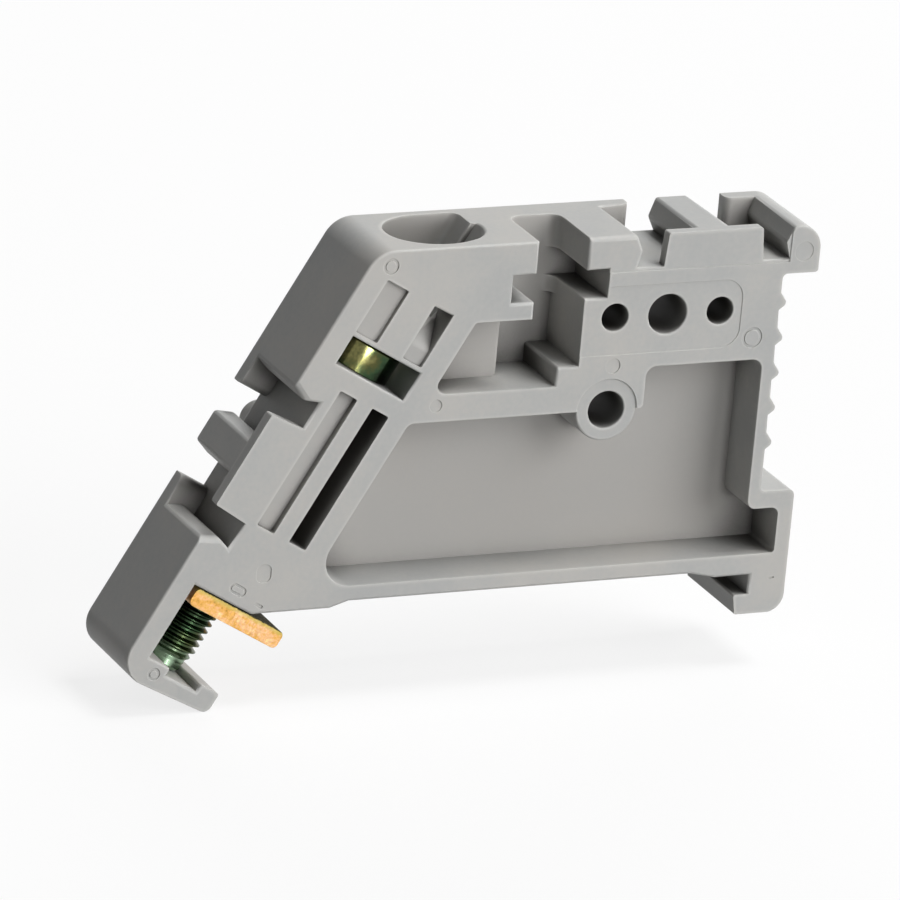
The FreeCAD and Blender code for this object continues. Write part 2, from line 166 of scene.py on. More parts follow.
class NodeTree:
    """The nodes of a material or of the world."""

    def __init__(self, owner: bpy.types.Material | bpy.types.World) -> None:
        """Empties the owner's node tree.

        Args:
            owner: the material or the world that has the nodes.
        """
        owner.use_nodes = True
        self.tree = owner.node_tree
        self.tree.nodes.clear()

    def node(
        self, kind: str, settings: dict | None = None, values: dict | None = None
    ) -> bpy.types.Node:
        """Adds one node.

        Args:
            kind: the node's type name.
            settings: the node's own properties, and "stops" for a colour ramp, which are set first.
            values: what each input holds, by name or place: a number, a colour, a Value or a socket.

        Returns:
            The new node.
        """
        node = self.tree.nodes.new(kind)
        for name, setting in (settings or {}).items():
            if name == "stops":
                self.set_stops(node.color_ramp, setting)
            else:
                setattr(node, name, setting)
        for name, value in (values or {}).items():
            self.feed(node.inputs[name], value)
        return node

    @staticmethod
    def set_stops(ramp: bpy.types.ColorRamp, stops: list[tuple[float, tuple[float, ...]]]) -> None:
        """Gives a colour ramp its stops.

        Args:
            ramp: the ramp.
            stops: each stop's place and colour, in order.
        """
        while len(ramp.elements) < len(stops):
            ramp.elements.new(1.0)
        for element, (position, colour) in zip(ramp.elements, stops, strict=True):
            element.position = position
            element.color = (*colour, 1.0)

    def feed(self, socket: bpy.types.NodeSocket, value: object) -> None:
        """Links or writes what an input holds.

        Args:
            socket: the input.
            value: a Value or a socket to link, or a plain number, vector or colour to write.
        """
        if isinstance(value, Value):
            self.tree.links.new(value.socket, socket)
        elif isinstance(value, bpy.types.NodeSocket):
            self.tree.links.new(value, socket)
        elif socket.type == "RGBA" and len(value) == 3:
            socket.default_value = (*value, 1.0)
        else:
            socket.default_value = value

    def math(self, operation: str, *operands: Value | float) -> Value:
        """Adds a Math node for an expression.

        Args:
            operation: the node's operation.
            operands: the values or numbers that it works on.

        Returns:
            The node's result.
        """
        node = self.node("ShaderNodeMath", {"operation": operation}, dict(enumerate(operands)))
        return Value(self, node.outputs[0])

    def ray(self, *kinds: str) -> Value:
        """Gives 1 for rays of the named kinds, such as Camera, and 0 for others."""
        path = self.node("ShaderNodeLightPath")
        first, *others = (Value(self, path.outputs[f"Is {kind} Ray"]) for kind in kinds)
        return sum(others, first)


class Recipe(NodeTree):
    """A material under way: one Principled shader and the nodes that feed it."""

    def __init__(self, name: str) -> None:
        """Starts a material with its shader and its output.

        Args:
            name: the material's name.
        """
        self.material = bpy.data.materials.new(name)
        super().__init__(self.material)
        self.shader = self.node("ShaderNodeBsdfPrincipled")
        self.output = self.node("ShaderNodeOutputMaterial", {}, {"Surface": self.shader.outputs[0]})
        self.place = self.node("ShaderNodeTexCoord").outputs["Object"]

    def distance(self, origin: Vector, direction: Vector) -> Value:
        """Gives how far a point lies from an origin along a direction, in millimetres."""
        values = {0: self.place, 1: tuple(direction / MM)}
        dot = self.node("ShaderNodeVectorMath", {"operation": "DOT_PRODUCT"}, values)
        return Value(self, dot.outputs["Value"]) - origin.dot(direction) / MM

    def facing(self, direction: tuple[float, float, float]) -> Value:
        """Gives how squarely the surface faces a direction, from -1 to 1."""
        normal = self.node("ShaderNodeTexCoord").outputs["Normal"]
        dot = self.node("ShaderNodeVectorMath", {"operation": "DOT_PRODUCT"}, {0: normal, 1: direction})
        return Value(self, dot.outputs["Value"])

    def shelter(self, reach_mm: float) -> Value:
        """Gives how open a point of the surface lies, from 0 deep in a hollow to 1 in the open."""
        settings = {"samples": 12, "only_local": True}
        occlusion = self.node("ShaderNodeAmbientOcclusion", settings, {"Distance": reach_mm * MM})
        return Value(self, occlusion.outputs["AO"])

    def edges(self, reach_mm: float) -> Value:
        """Gives 1 inside a face and less beside an outer edge, where a ray inwards soon comes out."""
        settings = {"samples": 8, "only_local": True, "inside": True}
        thin = self.node("ShaderNodeAmbientOcclusion", settings, {"Distance": reach_mm * MM})
        return Value(self, thin.outputs["AO"])

    def stretched(self, scale: tuple[float, float, float], turn: float) -> bpy.types.NodeSocket:
        """Gives the place, turned about Y and then stretched, for a pattern with a direction."""
        turned = self.node("ShaderNodeMapping", {}, {"Vector": self.place, "Rotation": (0.0, turn, 0.0)})
        values = {"Vector": turned.outputs[0], "Scale": scale}
        return self.node("ShaderNodeMapping", {}, values).outputs[0]

    def noise(
        self,
        size_mm: float,
        detail: float = 2.0,
        rough: float = 0.5,
        place: bpy.types.NodeSocket | None = None,
    ) -> Value:
        """Adds a noise.

        Args:
            size_mm: the size of its largest spots, in millimetres.
            detail: how many finer layers it has.
            rough: how strong the finer layers are.
            place: the coordinates to read, or none for the plain place.

        Returns:
            A value from 0 to 1.
        """
        values = {"Vector": place or self.place, "Scale": 1.0 / (size_mm * MM)}
        values |= {"Detail": detail, "Roughness": rough}
        return Value(self, self.node("ShaderNodeTexNoise", {}, values).outputs[0])

    def colours(self, mask: Value, stops: list[tuple[float, tuple[float, ...]]]) -> bpy.types.NodeSocket:
        """Turns a mask into a colour by a ramp of stops."""
        return self.node("ShaderNodeValToRGB", {"stops": stops}, {"Fac": mask}).outputs[0]

    def mix(self, mask: Value, first: object, second: object) -> bpy.types.NodeSocket:
        """Mixes two colours by a mask; its colour sockets go by place, as names are shared."""
        values = {0: mask, 6: first, 7: second}
        return self.node("ShaderNodeMix", {"data_type": "RGBA"}, values).outputs[2]

    def bump(self, height: Value, depth_mm: float) -> bpy.types.NodeSocket:
        """Turns a height from 0 to 1 into a bump of that depth."""
        values = {"Height": height, "Distance": depth_mm * MM, "Strength": 1.0}
        return self.node("ShaderNodeBump", {}, values).outputs[0]

    def finish(self, **values: object) -> bpy.types.Material:
        """Sets the shader's inputs, named with underscores for spaces, and gives the material."""
        for name, value in values.items():
            self.feed(self.shader.inputs[name.replace("_", " ")], value)
        return self.material


@dataclass(frozen=True)
class GreyPolyamide:
    """Satin grey moulded polyamide, a little cloudy, with the fine grain of the mould."""

    colour: tuple[float, float, float] = (0.445, 0.445, 0.432)
    warm: tuple[float, float, float] = (0.482, 0.47, 0.446)
    cool: tuple[float, float, float] = (0.41, 0.415, 0.41)
    cloud_mm: float = 7.0
    speck_mm: float = 0.35
    speck_share: float = 0.25
    tone_range: tuple[float, float] = (0.3, 0.7)
    sheen_mm: float = 1.1
    fine_sheen_mm: float = 0.2
    fine_sheen_share: float = 0.4
    roughness: tuple[float, float] = (0.42, 0.56)
    specular: float = 0.4
    grain_mm: float = 0.09
    grain_depth_mm: float = 0.0012
    wave_mm: float = 2.2
    wave_depth_mm: float = 0.01
    # Painted shade: front-facing recess floors turn darker grey the deeper they lie below the front face.
    recess_shade: tuple[float, float, float] = (0.385, 0.37, 0.352)
    recess_from_mm: float = 0.12
    shallow_mm: float = 0.25
    shallow_share: float = 0.5
    deep_mm: float = 2.6
    deep_share: float = 0.3
    recess_shade_cloud: tuple[float, float] = (0.8, 1.2)
    front_facing: tuple[float, float] = (0.5, 0.9)
    # Painted shade: nooks, bores and corners that ambient occlusion finds closed in are mixed towards near
    # black.
    nook_shade: tuple[float, float, float] = (0.038, 0.034, 0.029)
    nook_mm: float = 4.0
    nook_range: tuple[float, float] = (0.64, 0.14)
    # Painted highlight: outer edges are mixed towards a lighter grey, standing for the light that rounded
    # edges catch.
    rim: tuple[float, float, float] = (0.64, 0.63, 0.6)
    rim_mm: float = 0.3
    rim_highlight_range: tuple[float, float] = (0.95, 0.6)
    rim_highlight_share: float = 0.4

    def material(self, front_mm: float) -> bpy.types.Material:
        """Makes the material.

        Args:
            front_mm: the place of the body's front face along Y.

        Returns:
            The material.
        """
        recipe = Recipe("grey_polyamide")
        clouds = recipe.noise(self.cloud_mm, detail=3.0, rough=0.55)
        specks = recipe.noise(self.speck_mm)
        tone = (clouds * (1 - self.speck_share) + specks * self.speck_share).ramp(*self.tone_range)
        colour = recipe.colours(tone, [(0.0, self.cool), (0.5, self.colour), (1.0, self.warm)])
        # Painted shade: recess floors that face the front are mixed towards a darker grey by their depth.
        depth = recipe.distance(Vector((0.0, front_mm * MM, 0.0)), Vector((0.0, 1.0, 0.0)))
        sunk = depth.ramp(self.recess_from_mm, self.shallow_mm) * self.shallow_share
        sunk = sunk + depth.ramp(self.shallow_mm, self.deep_mm) * self.deep_share
        facing = recipe.facing((0.0, -1.0, 0.0)).ramp(*self.front_facing)
        recess_shade_mask = sunk * facing * recipe.noise(self.cloud_mm, detail=1.0).between(*self.recess_shade_cloud)
        colour = recipe.mix(recess_shade_mask, colour, self.recess_shade)
        # Painted shade: closed-in nooks, bores and corners are darkened towards near black.
        shelter = recipe.shelter(self.nook_mm).ramp(*self.nook_range)
        colour = recipe.mix(shelter, colour, self.nook_shade)
        # Painted highlight: convex outer edges are lightened.
        rim = recipe.edges(self.rim_mm).ramp(*self.rim_highlight_range)
        colour = recipe.mix(rim * self.rim_highlight_share, colour, self.rim)
        sheen = recipe.noise(self.sheen_mm, detail=3.0) * (1 - self.fine_sheen_share)
        sheen = sheen + recipe.noise(self.fine_sheen_mm) * self.fine_sheen_share
        wave_share = self.wave_depth_mm / self.grain_depth_mm
        waves = recipe.noise(self.wave_mm, detail=1.0) * wave_share
        height = waves + recipe.noise(self.grain_mm)
        return recipe.finish(
            Base_Color=colour,
            Roughness=sheen.between(*self.roughness),
            Specular_IOR_Level=self.specular,
            Normal=recipe.bump(height, self.grain_depth_mm),
        )


@dataclass(frozen=True)
class GreenSteel:
    """Turned steel under a dark green passivation that shimmers into olive and straw."""

    black: tuple[float, float, float] = (0.015, 0.018, 0.011)
    green: tuple[float, float, float] = (0.045, 0.085, 0.042)
    olive: tuple[float, float, float] = (0.11, 0.11, 0.042)
    straw: tuple[float, float, float] = (0.27, 0.25, 0.1)
    # Painted highlight: the pale green that patches on the point take, standing for the lit streak there.
    point_glint_colour: tuple[float, float, float] = (0.3, 0.42, 0.29)
    patch_mm: float = 2.6
    speck_mm: float = 0.2
    speck_share: float = 0.15
    tone_range: tuple[float, float] = (0.3, 0.72)
    shank_top_mm: float = -9.5
    shank_tone: tuple[float, float] = (0.5, 1.0)
    # Painted light: how much the shank's tone rises towards the point.
    lighter_towards_point_tone: float = 0.25
    taper_mm: float = -12.7
    point_mm: float = -14.0
    point_glint_mm: float = 0.8
    point_glint_range: tuple[float, float] = (0.2, 0.55)
    sheen_mm: float = 0.3
    roughness: tuple[float, float] = (0.18, 0.32)
    head_gloss: float = 0.08
    line_mm: float = 0.05
    line_depth_mm: float = 0.0015

    def material(self, arm: "Arm") -> bpy.types.Material:
        """Makes the material.

        Args:
            arm: the arm, along which the shank turns lighter towards the point, as painted light.

        Returns:
            The material.
        """
        recipe = Recipe("green_passivated_steel_finish")
        patches = recipe.noise(self.patch_mm)
        place = recipe.distance(arm.start, arm.along)
        head = place.ramp(self.shank_top_mm, 0.0)
        # Painted light: the shank is lightened towards the point.
        lighter_towards_point = place.ramp(self.shank_top_mm, self.taper_mm)
        cloudy = patches * (1 - self.speck_share) + recipe.noise(self.speck_mm) * self.speck_share
        tone = cloudy.ramp(*self.tone_range) * head.between(*self.shank_tone) + lighter_towards_point * self.lighter_towards_point_tone
        stops = [(0.0, self.black), (0.35, self.green), (0.7, self.olive), (1.0, self.straw)]
        # Painted highlight: pale green patches on the point stand for the streak of light on it.
        point_glint = place.ramp(self.taper_mm, self.point_mm) * recipe.noise(self.point_glint_mm).ramp(*self.point_glint_range)
        rough = recipe.noise(self.sheen_mm, detail=3.0).between(*self.roughness)
        rough = rough - head * self.head_gloss
        return recipe.finish(
            Base_Color=recipe.mix(point_glint, recipe.colours(tone, stops), self.point_glint_colour),
            Metallic=1.0,
            Roughness=rough,
            Normal=recipe.bump(recipe.noise(self.line_mm, detail=3.0), self.line_depth_mm),
        )


@dataclass(frozen=True)
class YellowSteel:
    """Sheared steel under a yellow passivation: grainy orange to straw, olive on the rolled face, which is
    painted near black there as shade and a dark reflection.
    """

    brown: tuple[float, float, float] = (0.33, 0.19, 0.05)
    orange: tuple[float, float, float] = (0.66, 0.34, 0.07)
    peach: tuple[float, float, float] = (0.75, 0.42, 0.13)
    pink: tuple[float, float, float] = (0.8, 0.46, 0.25)
    straw: tuple[float, float, float] = (0.82, 0.66, 0.26)
    mustard: tuple[float, float, float] = (0.5, 0.42, 0.1)
    # The rolled face's own olive, darkened near to black as painted shade and a painted dark reflection.
    olive: tuple[float, float, float] = (0.05, 0.045, 0.018)
    patch_mm: float = 0.7
    patch_stretch: float = 0.35
    speck_mm: float = 0.2
    speck_share: float = 0.38
    tone_range: tuple[float, float] = (0.3, 0.68)
    rim_mm: float = 0.16
    band_mm: float = 0.42
    band_fade: tuple[float, float] = (1.4, 0.7)
    band_share: float = 0.75
    metallic: float = 0.8
    sheen_mm: float = 0.25
    roughness: tuple[float, float] = (0.3, 0.5)
    rolled_roughness: float = 0.35
    tear_mm: float = 0.3
    score_mm: float = 0.1
    score_stretch: float = 0.25
    score_share: float = 0.4
    tear_depth_mm: float = 0.035

    def material(self, arm: "Arm", top_mm: float) -> bpy.types.Material:
        """Makes the material.

        Args:
            arm: the arm, along which the plate's thickness runs.
            top_mm: the place of the plate's rolled upper face along the arm.

        Returns:
            The material.
        """
        recipe = Recipe("yellow_passivated_steel_finish")
        lengthwise = recipe.stretched((self.patch_stretch, 1.0, 1.0), -ARM_SLOPE)
        patches = recipe.noise(self.patch_mm, detail=3.0, rough=0.6, place=lengthwise)
        specks = recipe.noise(self.speck_mm, detail=3.0, rough=0.7)
        tone = (patches * (1 - self.speck_share) + specks * self.speck_share).ramp(*self.tone_range)
        stops = [(0.0, self.brown), (0.2, self.orange), (0.48, self.peach)]
        stops += [(0.72, self.pink), (1.0, self.straw)]
        cut = recipe.colours(tone, stops)
        below = recipe.distance(arm.start, arm.along) * -1.0 + top_mm
        ragged = below + specks * self.rim_mm
        fade = [self.band_mm * share for share in self.band_fade]
        band = (below + patches * self.band_mm).ramp(*fade)
        cut = recipe.mix(band * self.band_share, cut, self.mustard)
        # The rolled face gets the near-black olive: its own olive tone, painted down as shade and dark
        # reflection; the mask also roughens it.
        rolled = ragged.ramp(self.rim_mm, self.rim_mm / 2)
        across = recipe.stretched((1.0, 1.0, self.score_stretch), -ARM_SLOPE)
        scores = recipe.noise(self.score_mm, place=across)
        tears = recipe.noise(self.tear_mm, detail=4.0, rough=0.65)
        height = tears * (1 - self.score_share) + scores * self.score_share
        rough = recipe.noise(self.sheen_mm, detail=3.0).between(*self.roughness)
        rough = rough + rolled * self.rolled_roughness
        return recipe.finish(
            Base_Color=recipe.mix(rolled, cut, self.olive),
            Metallic=self.metallic,
            Roughness=rough,
            Normal=recipe.bump(height, self.tear_depth_mm),
        )


@dataclass(frozen=True)
class Arm:
    """The screw's axis and the two directions square to it, from the joint that turns the screw."""

    start: Vector
    along: Vector
    outward: Vector

    @classmethod
    def from_frame(cls) -> "Arm":
        """Reads the axis of the screw's joint."""
        joint = next(j for j in frame["joints"] if j["child"] == Body.SCREW.value)
        along = Vector(joint["axis"]).normalized()
        return cls(Vector(joint["pos_m"]), along, Vector((-along.z, 0.0, along.x)))

    def local(self, point: Vector) -> tuple[float, float, float]:
        """Gives a point's place along the arm, out from the axis and across, in millimetres."""
        offset = point - self.start
        return offset.dot(self.along) / MM, offset.dot(self.outward) / MM, point.y / MM

    def matrix(self) -> Matrix:
        """Gives the transform from a piece built round Z to its place on the axis."""
        across = self.along.cross(self.outward)
        turn = Matrix((self.outward, across, self.along)).transposed()
        return Matrix.Translation(self.start) @ turn.to_4x4()


def cad_mesh(node: Node) -> bmesh.types.BMesh:
    """Copies a solid's mesh, with its loose triangles joined and its flat faces whole.

    Args:
        node: the solid.

    Returns:
        The copy, ready to be worked on.
    """
    mesh = bmesh.new()
    mesh.from_mesh(frame["nodes"][node.value].data)
    bmesh.ops.remove_doubles(mesh, verts=mesh.verts, dist=JOIN_DISTANCE)
    bmesh.ops.dissolve_limit(
        mesh,
        angle_limit=FLAT_ANGLE,
        verts=mesh.verts,
        edges=mesh.edges,
        use_dissolve_boundaries=False,
    )
    return mesh


def add_piece(
    name: str,
    mesh: bmesh.types.BMesh,
    body: Body,
    material: bpy.types.Material,
) -> bpy.types.Object:
    """Makes an object of a finished mesh and lets it ride on its body.

    Args:
        name: the piece's name.
        mesh: its mesh, in the frame's own place.
        body: the body that it rides on.
        material: the material that it wears.

    Returns:
        The new object.
    """
    data = bpy.data.meshes.new(name)
    mesh.to_mesh(data)
    mesh.free()
    piece = bpy.data.objects.new(name, data)
    bpy.context.scene.collection.objects.link(piece)
    data.materials.append(material)
    for polygon in data.polygons:
        polygon.use_smooth = True
    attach(piece, body.value)
    log.info("%s: %d faces, rides on %s", name, len(data.polygons), body.value)
    return piece


def even_shading(piece: bpy.types.Object) -> None:
    """Lets a piece's large faces stay flat where they meet rounded edges."""
    weighted = piece.modifiers.new("flat_faces", "WEIGHTED_NORMAL")
    weighted.keep_sharp = True


Wanted = Callable[[list[bmesh.types.BMEdge]], dict[bmesh.types.BMEdge, float]]


@dataclass
class EdgeSoftener:
    """Rounds the outer edges of a hard-edged mesh, each by what its faces leave room for."""

    tree: BVHTree | None = None
    skin_mm: float = 0.002
    sharp_angle: float = 28.0
    facet_angle: float = 50.0
    facet_mm: float = 0.3
    room_share: float = 0.42
    turn_share: float = 0.9
    least_shrink: float = 0.02
    step_share: float = 0.35
    probes: tuple[float, ...] = (0.2, 0.5, 0.8)
    segments: int = 3

    def face_width(self, edge: bmesh.types.BMEdge, face: bmesh.types.BMFace) -> float:
        """Measures how far a face reaches from one of its edges.

        Args:
            edge: the edge.
            face: the face.

        Returns:
            The distance, in millimetres.
        """
        start, end = (vert.co for vert in edge.verts)
        along = (end - start).normalized()
        offsets = [vert.co - start for vert in face.verts]
        return max((offset - along * offset.dot(along)).length for offset in offsets) / MM

    def turn_room(self, edge: bmesh.types.BMEdge, face: bmesh.types.BMFace) -> float:
        """Measures how far an edge can be offset between its outer corners.

        Args:
            edge: the edge.
            face: the face that it bounds.

        Returns:
            The offset, in millimetres, at which the edge shrinks to nothing.
        """
        loop = next(loop for loop in edge.link_loops if loop.face == face)
        shrink = sum(self.half_turn(corner) for corner in (loop, loop.link_loop_next))
        return edge.calc_length() / MM / shrink if shrink > self.least_shrink else math.inf

    @staticmethod
    def half_turn(corner: bmesh.types.BMLoop) -> float:
        """Measures the turn of a face's outline at a corner.

        Args:
            corner: the face's corner.

        Returns:
            The tangent of half the turn, or 0 at an inner corner.
        """
        arriving = corner.vert.co - corner.link_loop_prev.vert.co
        leaving = corner.link_loop_next.vert.co - corner.vert.co
        turn = arriving.angle(leaving, 0.0)
        outer = arriving.cross(leaving).dot(corner.face.normal) > 0
        return math.tan(min(turn, SHARPEST_TURN) / 2) if outer else 0.0

    def is_hard(self, edge: bmesh.types.BMEdge) -> bool:
        """Tells a true edge from a seam between the facets of a curve.

        Args:
            edge: the edge.

        Returns:
            Whether it is a true edge.
        """
        if len(edge.link_faces) != 2:
            return False
        angle = math.degrees(edge.calc_face_angle(0.0))
        if not self.sharp_angle < angle <= self.facet_angle:
            return angle > self.facet_angle
        return min(self.face_width(edge, face) for face in edge.link_faces) >= self.facet_mm

    def free_width(self, edge: bmesh.types.BMEdge, face: bmesh.types.BMFace) -> float:
        """Measures how far a wall runs on from one of its edges, past its own seams.

        Args:
            edge: the edge.
            face: the wall's face beside it.

        Returns:
            The width, in millimetres.
        """
        loop = next(loop for loop in edge.link_loops if loop.face == face)
        start, end = loop.vert.co, loop.link_loop_next.vert.co
        inward = face.normal.cross(end - start).normalized()
        widths = [math.inf]
        for share in self.probes:
            place = start.lerp(end, share) + inward * self.skin_mm * MM
            for side in (self.skin_mm, -self.skin_mm):
                reach = self.tree.ray_cast(place + face.normal * side * MM, inward)[3]
                if reach is not None:
                    widths.append(reach / MM)
        return min(widths)

    def radius(self, edge: bmesh.types.BMEdge, wanted: float) -> float:
        """Gives the radius that an edge has room for.

        Args:
            edge: the edge.
            wanted: the radius that it would have, in millimetres.

        Returns:
            The radius, in millimetres.
        """
        rooms = [self.free_width(edge, face) * self.room_share for face in edge.link_faces]
        rooms += [self.turn_room(edge, face) * self.turn_share for face in edge.link_faces]
        return min(wanted, *rooms)

    def step_room(
        self, edge: bmesh.types.BMEdge, other: bmesh.types.BMEdge, vert: bmesh.types.BMVert
    ) -> float:
        """Gives how far the radii of two edges that meet may differ, in millimetres.

        Args:
            edge: the first edge.
            other: the second edge.
            vert: the corner where they meet.

        Returns:
            The difference, which is nothing for edges in line and grows with the turn between them.
        """
        arriving = vert.co - edge.other_vert(vert).co
        leaving = other.other_vert(vert).co - vert.co
        turn = min(arriving.angle(leaving, 0.0), math.pi / 2)
        return self.step_share * math.sin(turn) * min(arriving.length, leaving.length) / MM

    def even_out(self, radii: dict[bmesh.types.BMEdge, float]) -> None:
        """Lowers each radius to what the smaller radii beside it allow, the smallest one first.

        Args:
            radii: the radii in millimetres, which are changed.
        """
        queue = [(radius, edge.index, edge) for edge, radius in radii.items()]
        heapq.heapify(queue)
        settled = set()
        while queue:
            radius, _, edge = heapq.heappop(queue)
            if edge in settled:
                continue
            settled.add(edge)
            beside = [(other, vert) for vert in edge.verts for other in vert.link_edges]
            for other, vert in beside:
                if other in settled or other not in radii:
                    continue
                allowed = radius + self.step_room(edge, other, vert)
                if allowed < radii[other]:
                    radii[other] = allowed
                    heapq.heappush(queue, (allowed, other.index, other))

    def weigh(self, mesh: bmesh.types.BMesh, wanted: Wanted) -> float:
        """Writes each edge's share of the largest radius.

        Args:
            mesh: the mesh whose edges are weighed.
            wanted: gives the radii that a list of edges would have, in millimetres.

        Returns:
            The largest radius, in millimetres.
        """
        mesh.normal_update()
        mesh.edges.index_update()
        self.tree = BVHTree.FromBMesh(mesh)
        layer = mesh.edges.layers.float.new("bevel_weight_edge")
        outer = []
        for edge in mesh.edges:
            hard = self.is_hard(edge)
            edge.smooth = not hard
            if hard and edge.is_convex:
                outer.append(edge)
        radii = {edge: self.radius(edge, radius) for edge, radius in wanted(outer).items()}
        self.even_out(radii)
        largest = max(radii.values())
        for edge, radius in radii.items():
            edge[layer] = radius / largest
        return largest

    def round_off(self, piece: bpy.types.Object, largest_mm: float) -> None:
        """Adds the modifier that rounds the weighed edges.

        Args:
            piece: the piece, whose mesh carries the weights.
            largest_mm: the largest radius, in millimetres.
        """
        bevel = piece.modifiers.new("soft_edges", "BEVEL")
        bevel.limit_method = "WEIGHT"
        bevel.width = largest_mm * MM
        bevel.segments = self.segments
        bevel.profile = 0.5
        bevel.use_clamp_overlap = False
        bevel.loop_slide = False
        even_shading(piece)


@dataclass
class MouldedBody:
    """The moulded body, with the soft edges of a mould rubbed down by long use."""

    arm: Arm
    softener: EdgeSoftener = field(default_factory=EdgeSoftener)
    usual_mm: float = 0.18
    arm_edge_mm: float = 0.42
    top_edge_mm: float = 0.3
    pocket_edge_mm: float = 0.3
    hole_edge_mm: float = 0.12
    mark_edge_mm: float = 0.03
    arm_side_from_mm: float = 2.4
    mark_rim_mm: float = 4.7
    hole_rim_mm: float = 30.0
    pocket_rim_mm: float = 110.0
    near_mm: float = 0.15
    outward_share: float = 0.3
    front_mm: float = field(default_factory=lambda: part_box(Node.BODY.value)[0].y / MM)
    top_mm: float = field(default_factory=lambda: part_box(Node.BODY.value)[1].z / MM)

    def at_front(self, edge: bmesh.types.BMEdge) -> bool:
        """Tells whether an edge lies in the front face or in one of its shallow steps."""
        return all(abs(vert.co.y / MM - self.front_mm) < self.near_mm for vert in edge.verts)

    @staticmethod
    def rims(edges: list[bmesh.types.BMEdge]) -> list[list[bmesh.types.BMEdge]]:
        """Groups edges that hang together into rims.

        Args:
            edges: the edges.

        Returns:
            The rims, each a list of its edges.
        """
        left = set(edges)
        rims = []
        while left:
            rim = [left.pop()]
            for edge in rim:
                beside = {other for vert in edge.verts for other in vert.link_edges} & left
                rim.extend(sorted(beside, key=lambda other: other.index))
                left -= beside
            rims.append(rim)
        return rims

    def rim_radius(self, edge: bmesh.types.BMEdge, rim_mm: float) -> float:
        """Gives the radius of one edge of a rim.

        Args:
            edge: the edge.
            rim_mm: the rim's length all round, in millimetres.

        Returns:
            The radius, in millimetres.
        """
        if rim_mm < self.mark_rim_mm:
            return self.mark_edge_mm
        if rim_mm < self.hole_rim_mm:
            return self.hole_edge_mm
        if rim_mm < self.pocket_rim_mm:
            return self.pocket_edge_mm
        wall = min(edge.link_faces, key=lambda face: abs(face.normal.y))
        outer = all(self.arm.local(vert.co)[1] > self.arm_side_from_mm for vert in edge.verts)
        if outer and wall.normal.dot(self.arm.outward) > self.outward_share:
            return self.arm_edge_mm
        if all(vert.co.z / MM > self.top_mm - self.near_mm for vert in edge.verts):
            return self.top_edge_mm
        return self.usual_mm

    def wanted(self, edges: list[bmesh.types.BMEdge]) -> dict[bmesh.types.BMEdge, float]:
        """Gives the radii that the body's outer edges have on the real thing.

        Args:
            edges: the outer edges.

        Returns:
            The radius of each edge, in millimetres.
        """
        radii = {edge: self.usual_mm for edge in edges}
        for rim in self.rims([edge for edge in edges if self.at_front(edge)]):
            rim_mm = sum(edge.calc_length() for edge in rim) / MM
            log.debug("rim of %.1f mm, %d edges", rim_mm, len(rim))
            radii.update({edge: self.rim_radius(edge, rim_mm) for edge in rim})
        return radii

    def build(self, finish: GreyPolyamide) -> bpy.types.Object:
        """Makes the body and lets it stand for the solid.

        Args:
            finish: the plastic that it is moulded in.

        Returns:
            The body's object.
        """
        mesh = cad_mesh(Node.BODY)
        largest = self.softener.weigh(mesh, self.wanted)
        material = finish.material(self.front_mm)
        piece = add_piece("moulded_housing", mesh, Body.HOUSING, material)
        self.softener.round_off(piece, largest)
        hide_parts(Node.BODY.value)
        return piece


def in_order(mesh: bmesh.types.BMesh) -> bmesh.types.BMesh:
    """Rebuilds a spun mesh with sorted faces, as the spin operator orders them anew each run.

    Args:
        mesh: the spun mesh, which is freed.

    Returns:
        The same mesh in a fixed order.
    """
    mesh.verts.index_update()
    faces = []
    for face in mesh.faces:
        corners = [vert.index for vert in face.verts]
        # A quad starts at its first or third corner, which keeps the diagonal that splits it.
        first = corners.index(min(corners[::2]))
        faces.append(corners[first:] + corners[:first])
    ordered = bmesh.new()
    verts = [ordered.verts.new(vert.co) for vert in mesh.verts]
    for corners in sorted(faces):
        ordered.faces.new([verts[corner] for corner in corners])
    ordered.normal_update()
    mesh.free()
    return ordered


def turned(profile: list[tuple[float, float]], steps: int, climb: float = 0.0) -> bmesh.types.BMesh:
    """Turns a profile once round Z.

    Args:
        profile: its corners, as millimetres out from the axis and along it.
        steps: how many facets the turn has.
        climb: how far each facet climbs along the axis, in metres, for a thread.

    Returns:
        The turned mesh.
    """
    mesh = bmesh.new()
    verts = [mesh.verts.new((out * MM, 0.0, u * MM)) for out, u in profile]
    for first, last in zip(verts, verts[1:], strict=False):
        mesh.edges.new((first, last))
    bmesh.ops.spin(
        mesh,
        geom=mesh.verts[:] + mesh.edges[:],
        cent=(0.0, 0.0, 0.0),
        axis=(0.0, 0.0, 1.0),
        dvec=(0.0, 0.0, climb),
        angle=math.tau,
        steps=steps,
        use_merge=climb == 0.0,
        use_duplicate=False,
    )
    bmesh.ops.remove_doubles(mesh, verts=mesh.verts, dist=SEAM_DISTANCE)
    return in_order(mesh)


